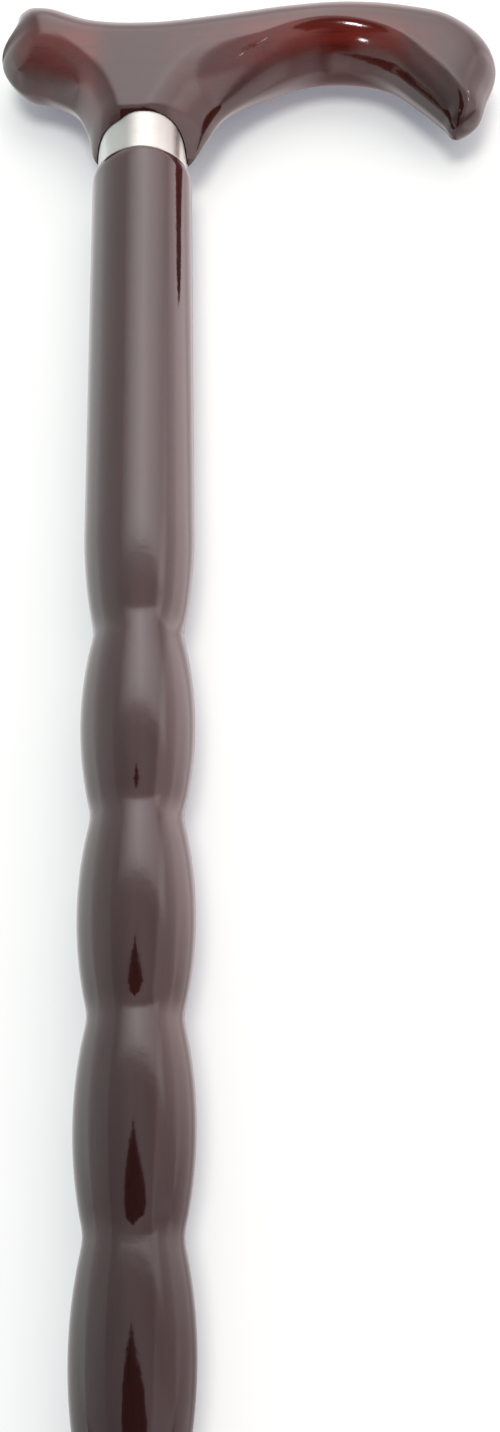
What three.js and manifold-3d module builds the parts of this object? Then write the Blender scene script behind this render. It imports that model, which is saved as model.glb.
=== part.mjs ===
// A wooden walking cane: a carved handle with a hooked nose, a metal collar, a turned shaft
// with a row of long beads, and a push-on rubber ferrule with a steel washer in it.
// Millimetres. +Z runs up the shaft, +X points to the nose of the handle, and the origin is
// the middle of the ferrule's sole.
import * as THREE from 'three';
import { mergeVertices } from 'three/addons/utils/BufferGeometryUtils.js';
import Module from 'manifold-3d';

const wasm = await Module();
wasm.setup();

// Clearance between any two seated pieces: glue line, press fit or bore
const FIT = 0.3;

// Shaft
const SHAFT_RADIUS = 12.5;
const SWELL_RADIUS = 12.6;
const TOP_PLAIN_LENGTH = 133;
const TOP_RUN_OUT = 27;
const BEAD_COUNT = 14;
const BEAD_PITCH = 45;
const BEAD_RADIUS = 12.55;
const LAST_BEAD_RADIUS = 11.5;
const WAIST_RADIUS = 10.1;
const LAST_WAIST_RADIUS = 9.6;
const WAIST_FILLET = 10;
const FOOT_PLAIN_LENGTH = 87;
const FOOT_RUN_OUT = 20;
const FOOT_RADIUS = 10.7;
const SHAFT_END_RADIUS = 9.5;
const END_CHAMFER = 0.8;
const SHOULDER_STEP = 1.3;
const SHOULDER_DROP = 4;

// Collar, and the tenon that carries it
const COLLAR_LENGTH = 16;
const COLLAR_WALL = 0.9;
const COLLAR_EDGE = 0.3;
const TENON_LENGTH = 22;
const TENON_CHAMFER = 1;

// Double-ended screw between the tenon and the handle
const SCREW_RADIUS = 4;
const SCREW_IN_SHAFT = 36;
const SCREW_IN_HANDLE = 15;
const SCREW_POINT = 5;

// Handle: reaches from the shaft's axis, heights above the shaft's shoulder
const NOSE_REACH = 91.7;
const STUB_REACH = 36.8;
const CREST_HEIGHT = 54.3;
const SADDLE_HEIGHT = 48.1;
const STUB_HEIGHT = 53.6;
const STUB_UNDERSIDE = 27.3;
const ARCH_HEIGHT = 34.9;
const HOOK_HEIGHT = 12.4;
const EAR_HEIGHT = 4.8;
const NOSE_EAR_WALL = 2.1;
const STUB_EAR_WALL = 0.9;
const LIP_WALL = 0.8;
const LIP_HEIGHT = 12.8;
const LIP_SLOPE = 0.78;
const NOSE_HALF_WIDTH = 9.2;
const LIP_SOFTNESS = 0.6;

// Rounding of the handle's edges, measured inwards from its side outline
const BACK_ROUNDING = 12;
const END_ROUNDING = 8;
const ARCH_ROUNDING = 7.5;
const NOSE_NECK_ROUNDING = 14;
const STUB_NECK_ROUNDING = 8;
const STUB_ROUNDING = 11;

// Roundness of those edges: 2 is a circle, less is flatter, more is squarer
const BACK_POWER = 2;
const END_POWER = 2.4;
const UNDERSIDE_POWER = 1.5;

// Ferrule
const TIP_FLOOR = 8;
const TIP_SOCKET_DEPTH = 36;
const TIP_BASE_RADIUS = 18.5;
const TIP_BASE_HEIGHT = 6;
const TIP_FLARE_HEIGHT = 16;
const TIP_WALL = 3;
const TIP_EDGE = 1.5;
const TIP_BEAD = 1;
const SOLE_PAD_RADIUS = 5;
const SOLE_GROOVE = 1.5;
const WASHER_THICKNESS = 1.5;

// Facets
const ROUND_STEPS = 24;
const SECTION_STEPS = 32;
const OUTLINE_STEPS = 12;

// Derived places along Z
const collarRadius = SHAFT_RADIUS - SHOULDER_STEP;
const tenonRadius = collarRadius - COLLAR_WALL - FIT;
const seatRadius = collarRadius + FIT;
const washerBottom = TIP_FLOOR + FIT;
const shaftBottom = washerBottom + WASHER_THICKNESS + FIT;
const lastWaistZ = shaftBottom + FOOT_PLAIN_LENGTH;
const firstWaistZ = lastWaistZ + BEAD_COUNT * BEAD_PITCH;
const shoulderZ = firstWaistZ + TOP_PLAIN_LENGTH;
const tenonTop = shoulderZ + TENON_LENGTH;

function material(color, roughness, metalness) {
  return new THREE.MeshStandardMaterial({ color, roughness, metalness });
}

const lacqueredWood = () => material(0x4a1c18, 0.12, 0);
const polishedMetal = () => material(0xe4e0d8, 0.15, 1);
const zincedSteel = () => material(0x8f9296, 0.4, 1);
const blackRubber = () => material(0x1c1c1d, 0.85, 0);

// A point of a turned profile: radius and height
function at(radius, z) {
  return new THREE.Vector2(radius, z);
}

// Revolves a profile, listed from bottom to top on its outside, round the Z axis
function turned(profile) {
  const geometry = new THREE.LatheGeometry(profile, ROUND_STEPS);
  geometry.rotateX(Math.PI / 2);
  return geometry;
}

// Points of an elliptical quarter from one end of a corner to the other
function roundedCorner(from, to, corner, steps) {
  const points = [];
  for (let i = 0; i <= steps; i++) {
    const turn = (i / steps) * Math.PI / 2;
    const fromShare = Math.cos(turn);
    const toShare = Math.sin(turn);
    points.push(at(
      corner.x + (from.x - corner.x) * (1 - toShare) + (to.x - corner.x) * (1 - fromShare),
      corner.y + (from.y - corner.y) * (1 - toShare) + (to.y - corner.y) * (1 - fromShare),
    ));
  }
  return points;
}

function mix(a, b, share) {
  return a + (b - a) * share;
}

function smoothStep(edge0, edge1, x) {
  const t = Math.min(Math.max((x - edge0) / (edge1 - edge0), 0), 1);
  return t * t * (3 - 2 * t);
}

// Radius on the way from a waist to the swell beside it: the waist's fillet, then an arc that
// touches the fillet and lies level at the far end of the run.
function radiusBesideWaist(distance, run, waistRadius, swellRadius) {
  const rise = swellRadius - waistRadius;
  const centreDistance = (rise * rise + run * run) / (2 * rise);
  const swellArc = centreDistance - WAIST_FILLET;
  const touch = run * WAIST_FILLET / centreDistance;
  if (distance < touch) {
    return waistRadius + WAIST_FILLET - Math.sqrt(WAIST_FILLET ** 2 - distance ** 2);
  }
  return swellRadius - swellArc + Math.sqrt(swellArc ** 2 - (run - distance) ** 2);
}

// Half of a bead, or the run-out of a plain length, listed from bottom to top
function waistToSwell(waistZ, run, waistRadius, swellRadius, upward) {
  const stations = [0.1, 0.4, 0.7, 1];
  const points = stations.map((share) => {
    const distance = share * run;
    const radius = radiusBesideWaist(distance, run, waistRadius, swellRadius);
    return at(radius, waistZ + (upward ? distance : -distance));
  });
  return upward ? points : points.reverse();
}

// Radius of the plain foot between its run-out and the shaft's end
function footRadiusAt(z) {
  const footTop = lastWaistZ - FOOT_RUN_OUT;
  return mix(SHAFT_END_RADIUS, FOOT_RADIUS, (z - shaftBottom) / (footTop - shaftBottom));
}

function waistRadius(index) {
  return mix(WAIST_RADIUS, LAST_WAIST_RADIUS, index / BEAD_COUNT);
}

function beadRadius(index) {
  return mix(BEAD_RADIUS, LAST_BEAD_RADIUS, index / (BEAD_COUNT - 1));
}

function footProfile() {
  const lastWaist = waistRadius(BEAD_COUNT);
  return [
    at(0, shaftBottom),
    at(SHAFT_END_RADIUS - END_CHAMFER, shaftBottom),
    at(footRadiusAt(shaftBottom + END_CHAMFER), shaftBottom + END_CHAMFER),
    ...waistToSwell(lastWaistZ, FOOT_RUN_OUT, lastWaist, FOOT_RADIUS, false),
    at(lastWaist, lastWaistZ),
  ];
}

// One bead and the waist above it
function beadProfile(index) {
  const topZ = firstWaistZ - index * BEAD_PITCH;
  const run = BEAD_PITCH / 2;
  const radius = beadRadius(index);
  const lowerHalf = waistToSwell(topZ - BEAD_PITCH, run, waistRadius(index + 1), radius, true);
  const upperHalf = waistToSwell(topZ, run, waistRadius(index), radius, false);
  return [...lowerHalf, ...upperHalf.slice(1), at(waistRadius(index), topZ)];
}

function topProfile() {
  const sideEnd = at(SHAFT_RADIUS, shoulderZ - SHOULDER_DROP);
  const faceEdge = at(collarRadius, shoulderZ);
  const corner = at(SHAFT_RADIUS, shoulderZ);
  return [
    ...waistToSwell(firstWaistZ, TOP_RUN_OUT, waistRadius(0), SWELL_RADIUS, true),
    ...roundedCorner(sideEnd, faceEdge, corner, 4),
    at(tenonRadius, shoulderZ),
    at(tenonRadius, tenonTop - TENON_CHAMFER),
    at(tenonRadius - TENON_CHAMFER, tenonTop),
    ...screwHoleProfile(tenonTop, tenonTop - SCREW_IN_SHAFT - FIT),
  ];
}

// The blind hole for one end of the screw, from its mouth to its bottom
function screwHoleProfile(mouthZ, bottomZ) {
  const radius = SCREW_RADIUS + FIT;
  return [at(radius, mouthZ), at(radius, bottomZ), at(0, bottomZ)];
}

function shaft() {
  const profile = footProfile();
  for (let index = BEAD_COUNT - 1; index >= 0; index--) {
    profile.push(...beadProfile(index));
  }
  profile.push(...topProfile());
  return new THREE.Mesh(turned(profile), lacqueredWood());
}

function collar() {
  const bottom = shoulderZ + FIT;
  const top = bottom + COLLAR_LENGTH;
  const inner = collarRadius - COLLAR_WALL;
  const profile = [
    at(inner, bottom),
    at(collarRadius - COLLAR_EDGE, bottom),
    at(collarRadius, bottom + COLLAR_EDGE),
    at(collarRadius, top - COLLAR_EDGE),
    at(collarRadius - COLLAR_EDGE, top),
    at(inner, top),
    at(inner, bottom),
  ];
  return new THREE.Mesh(turned(profile), polishedMetal());
}

function joiningScrew() {
  const bottom = tenonTop - SCREW_IN_SHAFT;
  const top = tenonTop + SCREW_IN_HANDLE;
  const profile = [
    at(0, bottom),
    at(SCREW_RADIUS / 4, bottom),
    at(SCREW_RADIUS, bottom + SCREW_POINT),
    at(SCREW_RADIUS, top - SCREW_POINT),
    at(SCREW_RADIUS / 4, top),
    at(0, top),
  ];
  return new THREE.Mesh(turned(profile), zincedSteel());
}

// Side outline of the handle, seen along Y with the nose to the right: the control points of a
// closed smooth curve, clockwise from the middle of the blunt end. Each stretch is a list of
// [share of a reach, share of the height between two levels].
function outlineStretches() {
  const stretch = (reach, low, high, shares) => shares.map(([across, up]) => (
    new THREE.Vector3(across * reach, 0, shoulderZ + mix(low, high, up))
  ));
  return {
    bluntEnd: stretch(-STUB_REACH, STUB_UNDERSIDE, STUB_HEIGHT, [[1, 0.45], [0.911, 0.73]]),
    stubTop: stretch(-STUB_REACH, STUB_UNDERSIDE, STUB_HEIGHT, [[0.861, 0.99], [0.651, 1]]),
    topLine: stretch(NOSE_REACH, SADDLE_HEIGHT, CREST_HEIGHT,
      [[-0.134, 0.166], [0.022, 0], [0.219, 0.35], [0.416, 0.81], [0.589, 1], [0.74, 0.89]]),
    nose: stretch(NOSE_REACH, HOOK_HEIGHT, CREST_HEIGHT,
      [[0.882, 0.908], [0.975, 0.708], [1, 0.492], [0.97, 0.263], [0.936, 0.081]]),
    hook: stretch(NOSE_REACH, HOOK_HEIGHT, ARCH_HEIGHT, [[0.865, 0], [0.835, 0.183]]),
    arch: stretch(NOSE_REACH, HOOK_HEIGHT, ARCH_HEIGHT,
      [[0.76, 0.551], [0.679, 0.868], [0.567, 1], [0.46, 0.958], [0.327, 0.686], [0.232, 0.355]]),
    noseEar: stretch(seatRadius + NOSE_EAR_WALL, EAR_HEIGHT, ARCH_HEIGHT,
      [[1.215, 0.24], [1.003, 0.052], [0.939, 0.01]]),
    stubEar: stretch(-seatRadius - STUB_EAR_WALL, EAR_HEIGHT, STUB_UNDERSIDE,
      [[0.895, 0], [0.997, 0.072], [1.132, 0.429], [1.438, 0.807]]),
    stubUnderside: stretch(-STUB_REACH, STUB_UNDERSIDE, STUB_HEIGHT, [[0.655, 0], [0.869, 0.104]]),
  };
}

// The outline as a fine closed polygon, and the edges it is made of. Each edge has its own
// rounding, which may change along X from the neck to the arms.
function handleOutline() {
  const stretches = outlineStretches();
  const points = Object.values(stretches).flat();
  const curve = new THREE.CatmullRomCurve3(points, true, 'centripetal');
  const polygon = curve.getPoints(points.length * OUTLINE_STEPS);
  const edge = (from, to, power, rounding) => {
    const start = points.indexOf(from) * OUTLINE_STEPS;
    const end = (points.indexOf(to) || points.length) * OUTLINE_STEPS;
    return { stretch: polygon.slice(start, end + 1), power, rounding };
  };
  const { bluntEnd, stubTop, hook, noseEar, stubEar } = stretches;
  const towardsNose = (x) => smoothStep(seatRadius, 3 * seatRadius, x);
  const towardsStub = (x) => smoothStep(seatRadius, 2 * seatRadius, -x);
  const archRounding = (x) => mix(NOSE_NECK_ROUNDING, ARCH_ROUNDING, towardsNose(x));
  const stubRounding = (x) => mix(STUB_NECK_ROUNDING, STUB_ROUNDING, towardsStub(x));
  const bluntCorner = polygon.slice(-OUTLINE_STEPS / 2);
  const blunt = polygon.slice(0, points.indexOf(stubTop[0]) * OUTLINE_STEPS + 1);
  const edges = [
    { stretch: [...bluntCorner, ...blunt], power: END_POWER, rounding: () => END_ROUNDING },
    edge(stubTop[0], hook[0], BACK_POWER, () => BACK_ROUNDING),
    edge(hook[0], noseEar[2], UNDERSIDE_POWER, archRounding),
    edge(stubEar[0], bluntEnd[0], UNDERSIDE_POWER, stubRounding),
  ];
  return { polygon, edges };
}

// Highest and lowest point of the outline at one distance along X
function outlineSpan(polygon, x) {
  let top = -Infinity;
  let bottom = Infinity;
  for (let i = 1; i < polygon.length; i++) {
    const a = polygon[i - 1];
    const b = polygon[i];
    if ((a.x - x) * (b.x - x) <= 0 && a.x !== b.x) {
      const z = mix(a.z, b.z, (x - a.x) / (b.x - a.x));
      top = Math.max(top, z);
      bottom = Math.min(bottom, z);
    }
  }
  return { top, bottom };
}

// Where the handle is cut into sections: close together at both ends and on the ears
function sectionStations(left, right) {
  const ear = seatRadius;
  const noseBend = right - 0.24 * NOSE_REACH;
  const spans = [
    { from: left, to: left + END_ROUNDING, steps: 7, ease: (t) => 1 - Math.cos(t * Math.PI / 2) },
    { from: left + END_ROUNDING, to: -1.4 * ear, steps: 6 },
    { from: -1.4 * ear, to: -0.9 * ear, steps: 9 },
    { from: -0.9 * ear, to: 0.9 * ear, steps: 10 },
    { from: 0.9 * ear, to: 1.5 * ear, steps: 10 },
    { from: 1.5 * ear, to: noseBend, steps: 10 },
    { from: noseBend, to: right - END_ROUNDING, steps: 9 },
    { from: right - END_ROUNDING, to: right, steps: 8, ease: (t) => Math.sin(t * Math.PI / 2) },
  ];
  const stations = [];
  for (const { from, to, steps, ease = (t) => t } of spans) {
    for (let i = 0; i < steps; i++) {
      stations.push(mix(from, to, ease(i / steps)));
    }
  }
  return stations.slice(1);
}

// Distance in the side view from a point to a stretch of the outline
function distanceTo(stretch, point) {
  const segment = new THREE.Line3();
  const nearest = new THREE.Vector3();
  let distance = Infinity;
  for (let i = 1; i < stretch.length; i++) {
    segment.set(stretch[i - 1], stretch[i]);
    segment.closestPointToPoint(point, true, nearest);
    distance = Math.min(distance, nearest.distanceTo(point));
  }
  return distance;
}

// Share of the full width left at some distance inside a rounded edge
function roundedEdge(distance, radius, power) {
  const inside = Math.min(distance / radius, 1);
  return (1 - (1 - inside) ** power) ** (1 / power);
}

// How far the bevel over the collar has cut into the neck at one height
function bevelCut(z) {
  const below = LIP_HEIGHT - (z - shoulderZ);
  return LIP_SLOPE * LIP_SOFTNESS * Math.log1p(Math.exp(below / LIP_SOFTNESS));
}

// Half-width of the handle across Y at a point of its side view: the full width there, rounded
// off towards every edge, with the roundings blended where edges meet
function handleHalfWidth(edges, x, z) {
  const point = new THREE.Vector3(x, 0, z);
  const arm = mix(seatRadius + LIP_WALL, NOSE_HALF_WIDTH, smoothStep(0.5, 1, x / NOSE_REACH));
  const fullWidth = x < 0.5 * NOSE_REACH ? arm - bevelCut(z) : arm;
  const least = 1e-4;
  let blend = 1;
  for (const { stretch, power, rounding } of edges) {
    const share = roundedEdge(distanceTo(stretch, point), rounding(x), power);
    blend += Math.max(share, least) ** -3 - 1;
  }
  return fullWidth * blend ** (-1 / 3);
}

// One closed section of the handle, across Y, at the distance x from the shaft's axis
function handleSection({ polygon, edges }, x) {
  const { top, bottom } = outlineSpan(polygon, x);
  const backDepth = Math.min(0.6 * (top - bottom), 1.25 * BACK_ROUNDING);
  const widest = top - backDepth;
  const points = [];
  for (let i = 0; i < SECTION_STEPS; i++) {
    const turn = (i / SECTION_STEPS) * Math.PI * 2;
    const across = Math.cos(turn);
    const up = Math.sin(turn);
    const rise = up >= 0
      ? backDepth * up ** (2 / BACK_POWER)
      : (bottom - widest) * (-up) ** (2 / UNDERSIDE_POWER);
    const onMiddle = Math.abs(across) < 1e-9;
    const halfWidth = onMiddle ? 0 : handleHalfWidth(edges, x, widest + rise);
    points.push(new THREE.Vector3(x, Math.sign(across) * halfWidth, widest + rise));
  }
  return points;
}

// Skins a row of closed sections and closes both ends with a fan
function loft(sections, firstPoint, lastPoint) {
  const steps = sections[0].length;
  const vertices = [firstPoint, ...sections.flat(), lastPoint];
  const last = vertices.length - 1;
  const triangles = [];
  for (let j = 0; j < steps; j++) {
    const next = (j + 1) % steps;
    triangles.push(0, 1 + next, 1 + j);
    triangles.push(last, last - steps + j, last - steps + next);
  }
  for (let i = 0; i < sections.length - 1; i++) {
    for (let j = 0; j < steps; j++) {
      const next = (j + 1) % steps;
      const a = 1 + i * steps + j;
      const b = 1 + i * steps + next;
      triangles.push(a, b, b + steps);
      triangles.push(a, b + steps, a + steps);
    }
  }
  const geometry = new THREE.BufferGeometry().setFromPoints(vertices);
  geometry.setIndex(triangles);
  return geometry;
}

// Turns a geometry into a solid for a cut: positions only, shared corners merged, and the
// triangles that collapse on the axis left out
function toSolid(geometry) {
  const bare = geometry.clone();
  bare.deleteAttribute('normal');
  bare.deleteAttribute('uv');
  const merged = mergeVertices(bare, 1e-4);
  const corners = merged.index.array;
  const kept = [];
  for (let i = 0; i < corners.length; i += 3) {
    const [a, b, c] = [corners[i], corners[i + 1], corners[i + 2]];
    if (a !== b && b !== c && c !== a) {
      kept.push(a, b, c);
    }
  }
  return new wasm.Manifold(new wasm.Mesh({
    numProp: 3,
    vertProperties: merged.attributes.position.array,
    triVerts: Uint32Array.from(kept),
  }));
}

function toGeometry(solid) {
  const mesh = solid.getMesh();
  const geometry = new THREE.BufferGeometry();
  geometry.setAttribute('position', new THREE.BufferAttribute(mesh.vertProperties, 3));
  geometry.setIndex(new THREE.BufferAttribute(mesh.triVerts, 1));
  geometry.computeVertexNormals();
  return geometry;
}

// The stepped hole up the neck: the collar's seat, the tenon's socket and the screw's hole
function handleBore() {
  const mouth = shoulderZ - SHOULDER_DROP;
  const seatTop = shoulderZ + FIT + COLLAR_LENGTH + FIT;
  const socketTop = tenonTop + FIT;
  const holeTop = tenonTop + SCREW_IN_HANDLE + FIT;
  const socketRadius = tenonRadius + FIT;
  const holeRadius = SCREW_RADIUS + FIT;
  return turned([
    at(0, mouth),
    at(seatRadius, mouth),
    at(seatRadius, seatTop),
    at(socketRadius, seatTop),
    at(socketRadius, socketTop),
    at(holeRadius, socketTop),
    at(holeRadius, holeTop),
    at(0, holeTop),
  ]);
}

function handle() {
  const outline = handleOutline();
  const reaches = outline.polygon.map((point) => point.x);
  const left = Math.min(...reaches);
  const right = Math.max(...reaches);
  const leftPoint = outline.polygon[reaches.indexOf(left)];
  const rightPoint = outline.polygon[reaches.indexOf(right)];
  const sections = sectionStations(left, right).map((x) => handleSection(outline, x));
  const carved = toSolid(loft(sections, leftPoint, rightPoint));
  const bored = carved.subtract(toSolid(handleBore()));
  return new THREE.Mesh(toGeometry(bored), lacqueredWood());
}

// Grooves round the flat pad in the middle of the sole, from the pad outwards
function soleProfile() {
  const points = [at(0, 0), at(SOLE_PAD_RADIUS, 0)];
  let radius = SOLE_PAD_RADIUS;
  while (radius + 3 * SOLE_GROOVE < TIP_BASE_RADIUS - TIP_EDGE) {
    points.push(at(radius + 0.2 * SOLE_GROOVE, SOLE_GROOVE));
    points.push(at(radius + 0.8 * SOLE_GROOVE, SOLE_GROOVE));
    points.push(at(radius + SOLE_GROOVE, 0));
    points.push(at(radius + 2 * SOLE_GROOVE, 0));
    radius += 2 * SOLE_GROOVE;
  }
  return points;
}

function rubberTip() {
  const top = shaftBottom + TIP_SOCKET_DEPTH;
  const bore = (z) => footRadiusAt(z) + FIT;
  const sleeve = (z) => bore(z) + TIP_WALL;
  const flareTop = TIP_BASE_HEIGHT + TIP_FLARE_HEIGHT;
  const soleEdge = at(TIP_BASE_RADIUS - TIP_EDGE, 0);
  const sideStart = at(TIP_BASE_RADIUS, TIP_EDGE);
  const flare = new THREE.QuadraticBezierCurve(
    at(TIP_BASE_RADIUS - TIP_EDGE / 2, TIP_BASE_HEIGHT),
    at(sleeve(flareTop), TIP_BASE_HEIGHT + TIP_EDGE),
    at(sleeve(flareTop), flareTop),
  );
  const lipBottom = top - 3 * TIP_BEAD;
  const profile = [
    ...soleProfile(),
    ...roundedCorner(soleEdge, sideStart, at(TIP_BASE_RADIUS, 0), 3),
    ...flare.getPoints(6),
    at(sleeve(lipBottom), lipBottom),
    at(sleeve(lipBottom) + TIP_BEAD, lipBottom + TIP_BEAD),
    at(sleeve(top) + TIP_BEAD, top - TIP_BEAD),
    at(sleeve(top), top),
    at(bore(top), top),
    at(bore(shaftBottom), shaftBottom - FIT),
    at(bore(shaftBottom), TIP_FLOOR),
    at(0, TIP_FLOOR),
  ];
  return new THREE.Mesh(turned(profile), blackRubber());
}

function tipWasher() {
  const radius = SHAFT_END_RADIUS;
  const top = washerBottom + WASHER_THICKNESS;
  const profile = [at(0, washerBottom), at(radius, washerBottom), at(radius, top), at(0, top)];
  return new THREE.Mesh(turned(profile), zincedSteel());
}

const cane = new THREE.Group();
const pieces = {
  handle: handle(),
  collar: collar(),
  shaft: shaft(),
  joining_screw: joiningScrew(),
  rubber_tip: rubberTip(),
  tip_washer: tipWasher(),
};
for (const [name, mesh] of Object.entries(pieces)) {
  mesh.name = name;
  cane.add(mesh);
}

export default cane;
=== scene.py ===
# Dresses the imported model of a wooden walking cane: finely modelled lacquered wood, a polished
# collar and a rubber ferrule, in a pale studio, seen from below the handle as in the photograph.
# The cane's sizes are in millimetres and become metres where its meshes are made, in the same
# frame as the CAD. The studio is in metres. Angles are in degrees, apart from the camera's roll.
import math

import bmesh
import bpy
import numpy as np
from mathutils import Matrix, Vector


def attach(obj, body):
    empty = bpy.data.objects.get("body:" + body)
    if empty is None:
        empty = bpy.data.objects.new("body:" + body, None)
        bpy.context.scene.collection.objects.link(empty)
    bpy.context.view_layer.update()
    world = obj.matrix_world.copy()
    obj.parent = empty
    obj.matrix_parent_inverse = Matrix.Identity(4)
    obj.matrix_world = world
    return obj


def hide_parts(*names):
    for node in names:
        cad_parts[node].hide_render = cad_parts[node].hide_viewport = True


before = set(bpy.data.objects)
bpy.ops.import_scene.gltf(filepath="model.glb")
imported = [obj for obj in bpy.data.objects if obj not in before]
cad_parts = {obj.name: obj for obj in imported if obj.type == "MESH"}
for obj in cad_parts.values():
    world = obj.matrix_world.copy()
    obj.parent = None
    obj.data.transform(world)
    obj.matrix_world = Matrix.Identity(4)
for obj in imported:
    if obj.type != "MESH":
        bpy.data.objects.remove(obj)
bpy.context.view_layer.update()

MM = 0.001

# Gap between seated pieces
FIT = 0.3

# Shaft
SHAFT_RADIUS = 12.5
SWELL_RADIUS = 12.6
TOP_RUN_OUT = 27
BEAD_COUNT = 14
BEAD_PITCH = 45
BEAD_RADIUS = 12.55
LAST_BEAD_RADIUS = 11.5
WAIST_RADIUS = 10.1
LAST_WAIST_RADIUS = 9.6
WAIST_FILLET = 10
FOOT_PLAIN_LENGTH = 87
FOOT_RUN_OUT = 20
FOOT_RADIUS = 10.7
SHAFT_END_RADIUS = 9.5
END_CHAMFER = 0.8
SHOULDER_STEP = 1.3
SHOULDER_DROP = 4
TOP_PLAIN_LENGTH = 133

# Collar, tenon and screw
COLLAR_LENGTH = 16
COLLAR_WALL = 0.9
COLLAR_EDGE = 0.35
TENON_LENGTH = 22
TENON_CHAMFER = 1
SCREW_RADIUS = 4
SCREW_IN_SHAFT = 36
SCREW_IN_HANDLE = 15

# Handle outline
NOSE_REACH = 91.7
STUB_REACH = 36.8
CREST_HEIGHT = 54.3
SADDLE_HEIGHT = 48.1
STUB_HEIGHT = 53.6
STUB_UNDERSIDE = 27.3
ARCH_HEIGHT = 34.9
HOOK_HEIGHT = 12.4
EAR_HEIGHT = 4.8
NOSE_EAR_WALL = 2.1
STUB_EAR_WALL = 0.9

# Handle thickness: the bevel at the neck's lip, and the nose, which slims from a share of its reach
LIP_WALL = 0.8
LIP_HEIGHT = 12.8
LIP_SLOPE = 0.78
LIP_SOFTNESS = 0.6
NOSE_HALF_WIDTH = 9.2
SLIM_FROM = 0.5

# Handle edge roundings; a spread is how far the neck's rounding changes, in radii of the seat
BACK_ROUNDING = 12
END_ROUNDING = 8
ARCH_ROUNDING = 7.5
STUB_ROUNDING = 11
NOSE_NECK_ROUNDING = 14
NOSE_NECK_SPREAD = 3
STUB_NECK_ROUNDING = 8
STUB_NECK_SPREAD = 2

# Handle sections: the powers of their curves, and how far down the back's curve goes at most
BACK_POWER = 2
END_POWER = 2.4
UNDERSIDE_POWER = 1.5
BLEND_POWER = 3
THINNEST_SHARE = 1e-4
BACK_DEPTH = 15
BACK_DEPTH_SHARE = 0.6

# Ferrule
TIP_FLOOR = 8
TIP_SOCKET_DEPTH = 36
TIP_BASE_RADIUS = 18.5
TIP_BASE_HEIGHT = 6
TIP_FLARE_HEIGHT = 16
TIP_WALL = 3
TIP_EDGE = 1.5
TIP_BEAD = 1
TIP_BEAD_LENGTH = 3
TIP_BEAD_SLOPE = 0.35
TIP_BEAD_BEND = 0.6
TIP_BEAD_FULL = 1.3
SOLE_PAD_RADIUS = 5
SOLE_GROOVE = 1.5
GROOVE_SLOPE = 0.2
WASHER_THICKNESS = 1.5

# Fineness of the visible meshes
TURNED_SIDES = 96
WAIST_STEPS = 11
FLARE_STEPS = 16
HANDLE_STATIONS = 240
HANDLE_SIDES = 112
OUTLINE_STEPS = 12
STATION_SAMPLES = 6001
LONGEST_SAMPLE_STEP = 0.5
SHARP_ANGLE = math.radians(38)
MERGE_DISTANCE = 1e-7

# Stretches of a noise: even, or drawn out along the handle or the shaft
EVEN = (1, 1, 1)
ALONG_HANDLE = (0.06, 1, 1)
ALONG_SHAFT = (1, 1, 0.05)

# Pale sheet, the light for it, and floor
WALL_Y = 0.0131
WALL_FOOT_Y = 0.019
WALL_BEND_BOTTOM = 0.03
WALL_BEND_TOP = 0.17
WALL_TOP = 3
WALL_HALF_WIDTH = 2
WALL_FILL_STRENGTH = 1.65
WALL_FILL_SPREAD = 20
WALL_FILL_PITCH = 100
WALL_FILL_TURN = -6
FLOOR_Z = -0.5
FLOOR_HALF_WIDTH = 15
FIBRE_SHADE = 0.99

# Softbox, dark card and gauzes
SOFTBOX_Y = -0.6
SOFTBOX_LEFT = -0.42
SOFTBOX_RIGHT = 1.2
SOFTBOX_BOTTOM = 0.9
SOFTBOX_TOP = 4.5
CARD_Y = -0.79
GAUZE_NEAR = 0.12
GAUZE_FAR = 0.7
GAUZE_TOP = 0.85

# Small lamps for the handle: place, lit point, radius, radiance and cone angle
SPARKS = {
    "crest_spark": ((0.0386, -0.2621, 0.737), (0.055, -0.0105, 0.9025), 0.018, 30, 12),
    "arch_spark": ((-0.0218, -0.1354, 0.6375), (0.0575, -0.0085, 0.898), 0.01, 34, 12),
    "neck_spark": ((0.1421, -0.2043, 0.7861), (0.0247, -0.0105, 0.892), 0.012, 9, 2.4),
    "nose_spark_high": ((0.2432, -0.1078, 0.9453), (0.083, -0.0075, 0.884), 0.008, 12, 8),
    "nose_spark_low": ((0.2342, -0.1349, 0.8632), (0.0825, -0.0065, 0.8795), 0.008, 10, 8),
}

# World; its light and the softbox's are written as shares of BRIGHTEST in their ramps
BRIGHTEST = 2.0
WORLD_STRENGTH = 1.1
RIGHTWARD_DIP = 20

# Camera: sensor and lens in millimetres, pitch above level, roll in radians
SENSOR_WIDTH = 36
LENS = 53.35
CAMERA_PLACE = (0.0246, -0.413, 0.4911)
CAMERA_PITCH = 27.5
CAMERA_ROLL = -0.0192

collar_radius = SHAFT_RADIUS - SHOULDER_STEP
tenon_radius = collar_radius - COLLAR_WALL - FIT
seat_radius = collar_radius + FIT
washer_bottom = TIP_FLOOR + FIT
shaft_bottom = washer_bottom + WASHER_THICKNESS + FIT
last_waist_z = shaft_bottom + FOOT_PLAIN_LENGTH
first_waist_z = last_waist_z + BEAD_COUNT * BEAD_PITCH
shoulder_z = first_waist_z + TOP_PLAIN_LENGTH
tenon_top = shoulder_z + TENON_LENGTH


def mix(a, b, share):
    return a + (b - a) * share


def smooth_step(start, end, x):
    share = np.clip((x - start) / (end - start), 0, 1)
    return share * share * (3 - 2 * share)


# Profiles of the turned pieces, as (radius, height) points

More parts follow.
